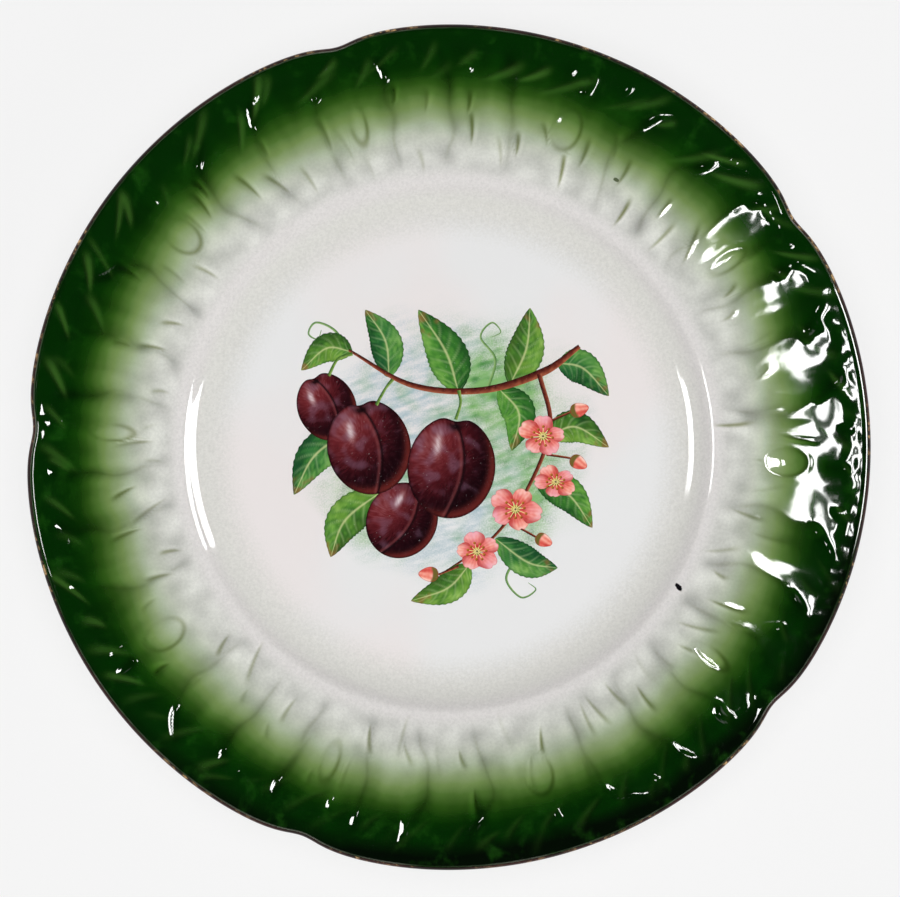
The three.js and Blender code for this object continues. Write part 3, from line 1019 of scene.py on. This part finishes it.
blossomLook = {
    "petal": [(186, 48, 48), (216, 86, 76), (238, 136, 118), (250, 188, 170), (253, 224, 212)],
    "shade": (166, 44, 46),
    "edge": (198, 84, 78),
    "heart": [(110, 120, 44), (196, 176, 80)],
    "thread": [(226, 196, 116), (250, 232, 170)],
    "anther": [(128, 66, 28), (196, 130, 50)],
    "calyx": (110, 96, 44),
    # place, petal length, turn, squash
    "open": [
        ((26, 3), 6.6, 12, 0.86),
        ((29.5, -9.5), 5.8, 40, 0.8),
        ((18.5, -17), 6.9, 65, 0.92),
        ((8, -28.5), 6.2, 28, 0.84),
    ],
    "blush": (236, 158, 182),
    # where the stalk leaves the twig, base and tip
    "buds": [
        ((27.8, 7), (33.5, 9.5), (38.5, 11)),
        ((27, -2), (33.5, -3), (38, -5.5)),
        ((16, -20), (24, -24.5), (28.5, -26.5)),
        ((3, -32.5), (-2.5, -34.8), (-8, -34.6)),
    ],
}


def makePetal(place, length, turn, squash, seed):
    def local(a, b):
        along = 0.55 + 0.45 * a
        across = 0.43 * b * (0.3 + 0.7 * ease(along, 0, 0.55))
        along = along - 0.07 * np.exp(-(across / 0.07) ** 2) * ease(a, 0.4, 1)
        return along, across * (1 + 0.06 * np.sin(9 * along + seed))

    def shape(a, b):
        along, across = local(a, b)
        x, y = turned(along * length, across * length, turn)
        return x + place[0], y * squash + place[1]

    def ink(a, b, x, y):
        along, across = local(a, b)
        veins = np.cos(46 * across / (0.35 + along))
        light = 0.95 * along - 0.08 + 0.1 * veins * (1 - 0.6 * along) + 0.16 * grain(x, y, 1.1, seed)
        return tinted(
            shades(light, *blossomLook["petal"]),
            (blossomLook["blush"], (0.15 + 0.25 * (seed % 3)) * along + 0.2 * grain(x, y, 2, seed)),
            (blossomLook["shade"], 0.65 * ease(-b, 0.25, 1)),
            (blossomLook["edge"], 0.6 * ease(np.hypot(a, b), 0.92, 1)),
        ), 1

    printPatch("printBlossom", shape, ink, 22, 22)
    nextLevel()


def makeDisc(place, size, colors):
    def shape(a, b):
        return a * size + place[0], b * size + place[1]

    def ink(a, b, x, y):
        return shades(0.5 - 0.4 * a + 0.4 * b + 0.2 * grain(x, y, 0.5, 41), *colors), 1

    printPatch("printBlossom", shape, ink, 8, 8)


def makeBlossom(place, length, turn, squash, seed):
    for petal in range(5):
        own = length * (1 + 0.1 * math.sin(seed + 2 * petal))
        makePetal(place, own, turn + 72 * petal + 6 * math.sin(3 * petal + seed), squash, seed + petal)
    makeDisc(place, 0.17 * length, blossomLook["heart"])
    nextLevel()
    tips = []
    for thread in range(11):
        reach = length * (0.36 + 0.1 * (thread % 3) / 2)
        x, y = turned(reach, 0, turn + 10 + thread * 360 / 11)
        tips.append((place[0] + x, place[1] + y * squash))
        ribbon("printBlossom", [place, tips[-1]], (0.22, 0.16), blossomLook["thread"], 6, 1)
    nextLevel()
    for tip in tips:
        makeDisc(tip, 0.38, blossomLook["anther"])
    nextLevel()


def makeBud(start, base, tip, seed):
    length = math.dist(base, tip)
    turn = math.degrees(math.atan2(tip[1] - base[1], tip[0] - base[0]))
    ribbon("printStems", [start, base], (0.7, 0.55), stemLook["bark"])
    nextLevel()

    def shape(a, b):
        x, y = turned(a * length / 2, b * length * 0.36 * (1 - 0.3 * a), turn)
        return x + (base[0] + tip[0]) / 2, y + (base[1] + tip[1]) / 2

    def ink(a, b, x, y):
        light = 0.5 + 0.3 * b + 0.14 * np.cos(7 * b + 1.5 * a) + 0.1 * grain(x, y, 0.8, seed)
        return tinted(
            shades(light, *blossomLook["petal"]),
            (blossomLook["calyx"], ease(-a + 0.2 * np.abs(b), 0.42, 0.5)),
            (blossomLook["shade"], 0.7 * ease(np.hypot(a, b), 0.9, 1)),
        ), 1

    printPatch("printBlossom", shape, ink, 16, 16)
    nextLevel()


def printMaterial():
    made, tree, shader = newMaterial("fired print ink", **glazeGloss)
    where = put(tree, "TexCoord").outputs["Object"]
    ink = put(tree, "Attribute", attribute_name="ink")
    cover = ink.outputs["Alpha"]
    dots = calc(tree, "SUBTRACT", noise(tree, where, printForm["dotScale"], 1), 0.5)  # in the half tones
    half = calc(tree, "MULTIPLY", cover, calc(tree, "SUBTRACT", 1.0, cover))
    cover = calc(tree, "MULTIPLY_ADD", calc(tree, "MULTIPLY", dots, half), 4.0, cover)
    worn = mapRange(tree, noise(tree, where, printForm["pinholeScale"], 2, 0.6), 0.7, 0.77, 1.0, 0.75)
    cover = calc(tree, "MULTIPLY", cover, worn)
    color = mixColor(tree, cover, wellColor(tree, where), ink.outputs["Color"])
    tree.links.new(color, shader.inputs["Base Color"])
    return made


def joinPrint(pieceName, patches, material):
    deselectAll()
    for patch in patches:
        patch.select_set(True)
    bpy.context.view_layer.objects.active = patches[0]
    bpy.ops.object.join()
    piece = bpy.context.object
    piece.name = pieceName
    bpy.ops.object.modifier_add(type="SOLIDIFY")
    piece.modifiers[-1].thickness = printForm["film"] * mm
    bpy.ops.object.modifier_apply(modifier=piece.modifiers[-1].name)
    piece.data.materials.append(material)
    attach(piece, "root")
    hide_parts("centre_print")
    print("print:", pieceName, len(patches), "motifs,", len(piece.data.polygons), "faces")


def makePrint():
    makeWash()
    for tendril in stemLook["tendrils"]:
        nextLevel()
        ribbon("printStems", tendril, (0.8, 0.6, 0.45, 0.15), stemLook["grass"], 60)
    nextLevel()
    for number, leaf in enumerate(leafLook["behind"]):
        makeLeaf(*leaf, 50 + 2 * number)
    for points, widths in stemLook["wood"]:
        ribbon("printStems", points, widths, stemLook["bark"], 90, 6)
        nextLevel()
    for number, plum in enumerate(plumLook["fruit"]):
        makePlum(*plum, 80 + 2 * number)
    for stalk in stemLook["fruitStalks"]:
        ribbon("printStems", stalk, (1.0, 0.7, 0.9), stemLook["green"])
    nextLevel()
    for number, leaf in enumerate(leafLook["front"]):
        makeLeaf(*leaf, 100 + 2 * number)
    for number, bud in enumerate(blossomLook["buds"]):
        makeBud(*bud, 120 + number)
    for number, blossom in enumerate(blossomLook["open"]):
        makeBlossom(*blossom, 130 + 7 * number)
    material = printMaterial()
    for pieceName, patches in printForm["patches"].items():
        joinPrint(pieceName, patches, material)


# Floor, light and camera

studio = {
    "floorSize": 6.0,
    "backdrop": linear(245, 245, 245),
    "floorGlow": 0.85,  # share of the floor that the camera sees as plain backdrop
    "zenith": 0.012,
    "horizon": 1.0,
    # lamps: angle from straight up, bearing from +X, distance, width, height, roll, watts
    "lamps": {
        "windowLeft": (21.2, 184, 0.97, 0.165, 0.056, 0, 0.69),
        "lowLeft": (28.5, 183, 0.97, 0.2, 0.105, 0, 1.5),
        "windowRight": (61.5, 5, 1.0, 0.55, 0.32, 10, 12.7),
        "softTop": (0, 0, 1.6, 1.2, 1.2, 0, 24.9),
        "softSide": (66, 305, 1.2, 0.5, 0.5, 0, 4.0),
    },
    "diffused": ["softTop", "softSide"],  # lamps behind a screen, too soft to mirror in the glaze
    "mirrored": ["windowRight", "lowLeft"],  # lamps far off, seen only in the glaze
}

photo = {
    "frameWidth": 900,
    "frameHeight": 897,
    "plateX": 447.67,  # the plate's centre and radius in the frame, in pixels
    "plateY": 447.11,
    "plateRadius": 423.2,
    "cameraHeight": 1.2,
    "sensor": 36.0,
}


def seenRay(tree):  # rays that see the background as the camera does, in metal and glass too
    path = put(tree, "LightPath")
    mirrored = calc(tree, "MAXIMUM", path.outputs["Is Glossy Ray"], path.outputs["Is Transmission Ray"])
    return path.outputs["Is Camera Ray"], mirrored


def makeFloor():
    deselectAll()
    bpy.ops.mesh.primitive_plane_add(size=studio["floorSize"], location=(0, 0, 0))
    floor = bpy.context.object
    floor.name = "studioFloor"
    bpy.ops.object.mode_set(mode="EDIT")
    bpy.ops.transform.translate(value=(0, 0, -0.05 * mm))
    bpy.ops.object.mode_set(mode="OBJECT")
    made, tree, shader = newMaterial("pale floor", Roughness=0.9, Base_Color=linear(240, 240, 240))
    shader.inputs["Specular IOR Level"].default_value = 0.1
    share = calc(tree, "MULTIPLY", calc(tree, "MAXIMUM", *seenRay(tree)), studio["floorGlow"])
    glow = put(tree, "Emission", {"Color": studio["backdrop"], "Strength": 1.0})
    blend = put(tree, "MixShader", {0: share, 1: shader.outputs[0], 2: glow.outputs[0]})
    tree.links.new(blend.outputs[0], tree.nodes["Material Output"].inputs["Surface"])
    floor.data.materials.append(made)


def makeWorld():
    world = bpy.data.worlds.new("studio")
    world.use_nodes = True
    bpy.context.scene.world = world
    tree = world.node_tree
    where = put(tree, "TexCoord").outputs["Generated"]
    up = put(tree, "SeparateXYZ", {0: where}).outputs["Z"]
    level = mapRange(tree, up, 0.04, 0.3, studio["horizon"], studio["zenith"])
    direct, mirrored = seenRay(tree)
    low = mapRange(tree, up, 0.04, 0.3, 1.0, 0.0)  # overhead stays dark, or the glaze would look grey
    ray = calc(tree, "MULTIPLY_ADD", mirrored, low, direct)
    dome = tree.nodes["Background"]
    tree.links.new(level, dome.inputs["Strength"])
    dome.inputs["Color"].default_value = (1, 1, 1, 1)
    plain = put(tree, "Background", {"Color": studio["backdrop"], "Strength": 1.0})
    blend = put(tree, "MixShader", {0: ray, 1: dome.outputs[0], 2: plain.outputs[0]})
    tree.links.new(blend.outputs[0], tree.nodes["World Output"].inputs["Surface"])


def makeLamps():
    for name, (tilt, bearing, distance, width, height, roll, watts) in studio["lamps"].items():
        polar, turn = math.radians(tilt), math.radians(bearing)
        out = Vector((math.sin(polar) * math.cos(turn), math.sin(polar) * math.sin(turn), math.cos(polar)))
        deselectAll()
        bpy.ops.object.light_add(type="AREA", location=out * distance)
        lamp = bpy.context.object
        lamp.name = name
        aim = (-out).to_track_quat("-Z", "Y") @ Quaternion((0, 0, 1), math.radians(roll))
        lamp.rotation_euler = aim.to_euler()
        lamp.data.shape = "RECTANGLE"
        lamp.data.size = width
        lamp.data.size_y = height
        lamp.data.energy = watts
        lamp.visible_glossy = name not in studio["diffused"]
        lamp.visible_diffuse = name not in studio["mirrored"]


def makeCamera():
    edgeDistance = photo["cameraHeight"] - lipMiddle
    edgeRadius = plateForm["edgeRadius"] + giltForm["above"] + giltForm["thickness"]
    perPixel = edgeRadius / photo["plateRadius"]
    offX = (photo["frameWidth"] / 2 - photo["plateX"]) * perPixel
    offY = (photo["plateY"] - photo["frameHeight"] / 2) * perPixel
    deselectAll()
    bpy.ops.object.camera_add(location=(offX, offY, photo["cameraHeight"]), rotation=(0, 0, 0))
    camera = bpy.context.object
    camera.name = "photoCamera"
    camera.data.sensor_width = photo["sensor"]
    camera.data.lens = photo["sensor"] * edgeDistance / (photo["frameWidth"] * perPixel)
    bpy.context.scene.camera = camera


makeCamera()
makePrint()
plate = makePlate()
plate.data.materials.append(glazeMaterial())
makeGiltLine()
makeFloor()
makeWorld()
makeLamps()
bpy.context.scene.view_settings.view_transform = "Standard"
print("scene: plate, gilt line, floor, lamps and camera are in place")
